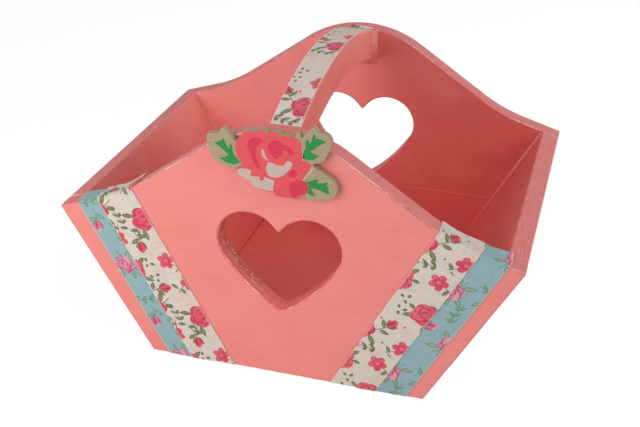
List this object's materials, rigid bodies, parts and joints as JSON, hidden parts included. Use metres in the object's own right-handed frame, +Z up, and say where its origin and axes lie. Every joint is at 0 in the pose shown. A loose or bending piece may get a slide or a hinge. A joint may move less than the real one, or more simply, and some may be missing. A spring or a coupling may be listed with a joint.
{
  "type": "wooden basket",
  "caption": "Painted plywood basket with slanted sides, curved heart-cut front and back panels, a fixed arched handle, printed fabric strips and a rose cut-out.",
  "frame": {"origin": "middle of the base panel's underside, at the height of the surface that the basket stands on", "axes": "+Z up, +X to the right along the front panel, -Y out of the front panel that carries the rose"},
  "size_m": [0.22, 0.1538, 0.1402],
  "materials": {
    "coral_paint": "brushed semi-gloss paint over plywood",
    "rose_wood": "bare plywood with printed colours",
    "floral_cotton": "plain-woven cotton with a small floral print",
    "blue_cotton": "plain-woven cotton with a sparse bud print",
    "brad_steel": "bright drawn wire"
  },
  "bodies": {
    "root": {"front_panel": "coral_paint", "back_panel": "coral_paint", "left_side_panel": "coral_paint", "right_side_panel": "coral_paint", "base_panel": "coral_paint", "handle": "coral_paint", "rose_plaque": "rose_wood", "left_blue_ribbon": "blue_cotton", "right_blue_ribbon": "blue_cotton", "left_floral_ribbon": "floral_cotton", "right_floral_ribbon": "floral_cotton", "handle_ribbon": "floral_cotton", "front_left_brad_1": "brad_steel", "front_left_brad_2": "brad_steel", "front_left_brad_3": "brad_steel", "front_right_brad_1": "brad_steel", "front_right_brad_2": "brad_steel", "front_right_brad_3": "brad_steel", "back_left_brad_1": "brad_steel", "back_left_brad_2": "brad_steel", "back_left_brad_3": "brad_steel", "back_right_brad_1": "brad_steel", "back_right_brad_2": "brad_steel", "back_right_brad_3": "brad_steel", "handle_front_brad_1": "brad_steel", "handle_front_brad_2": "brad_steel", "handle_back_brad_1": "brad_steel", "handle_back_brad_2": "brad_steel"}
  },
  "joints": []
}
